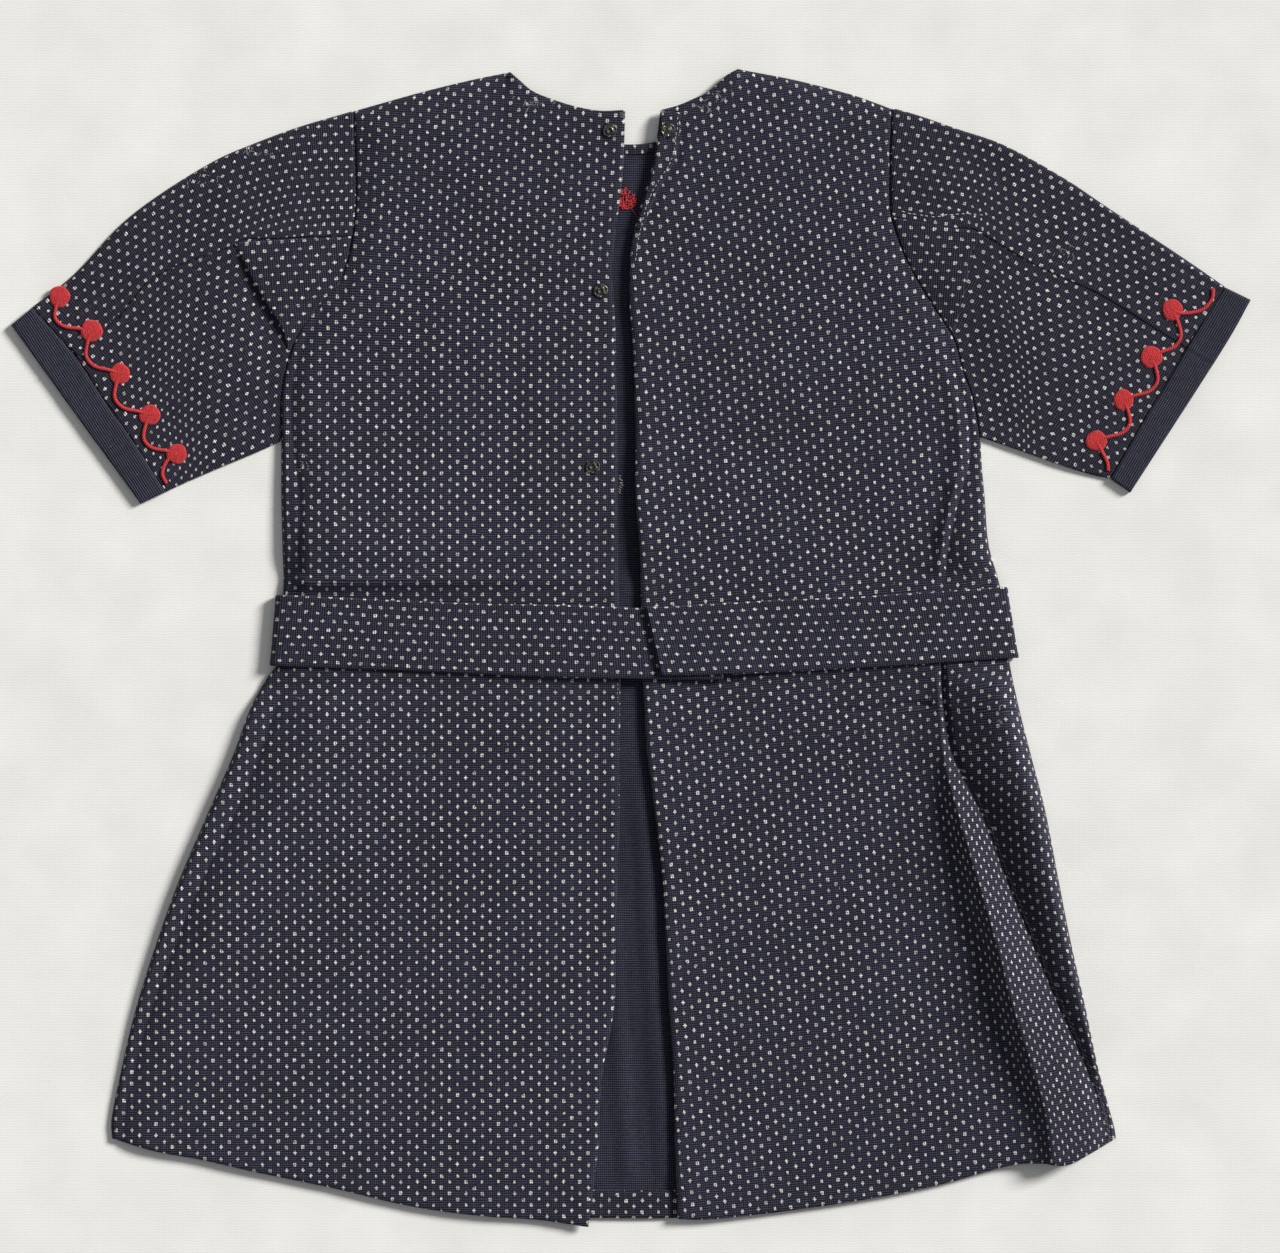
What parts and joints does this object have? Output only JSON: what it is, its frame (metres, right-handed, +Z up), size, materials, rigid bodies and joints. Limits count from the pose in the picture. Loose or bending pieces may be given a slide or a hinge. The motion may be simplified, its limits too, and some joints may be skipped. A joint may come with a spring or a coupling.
{
  "type": "child's belted smock dress, laid flat",
  "caption": "Short-sleeved woven smock dress with an open centre back, turned-up cuffs and a cloth belt, laid flat on its front.",
  "frame": {"origin": "middle of the footprint, on the surface that the dress lies on", "axes": "+Z up out of the surface, +Y from the hem towards the neck, +X across to the sleeve on the viewer's right"},
  "size_m": [0.6966, 0.65, 0.011],
  "materials": {
    "cloth": "ribbed woven cotton, navy with small cream woven flecks",
    "cloth_reverse": "reverse of the woven cotton, plain navy ribs",
    "embroidery": "raised cotton embroidery thread, red",
    "stud": "blackened metal, worn"
  },
  "bodies": {
    "root": {"front": "cloth", "front_neck_turning": "cloth", "front_hem_turning": "cloth", "back_left": "cloth", "back_right": "cloth", "back_right_turned_corner": "cloth", "sleeve_left": "cloth", "sleeve_right": "cloth", "cuff_left": "cloth_reverse", "cuff_right": "cloth_reverse", "belt": "cloth", "embroidery_left": "embroidery", "embroidery_right": "embroidery", "embroidery_front_reverse": "embroidery", "stud_socket_1": "stud", "stud_socket_2": "stud", "stud_socket_3": "stud", "stud_ball_1": "stud", "stud_ball_2": "stud", "stud_ball_3": "stud"}
  },
  "joints": []
}
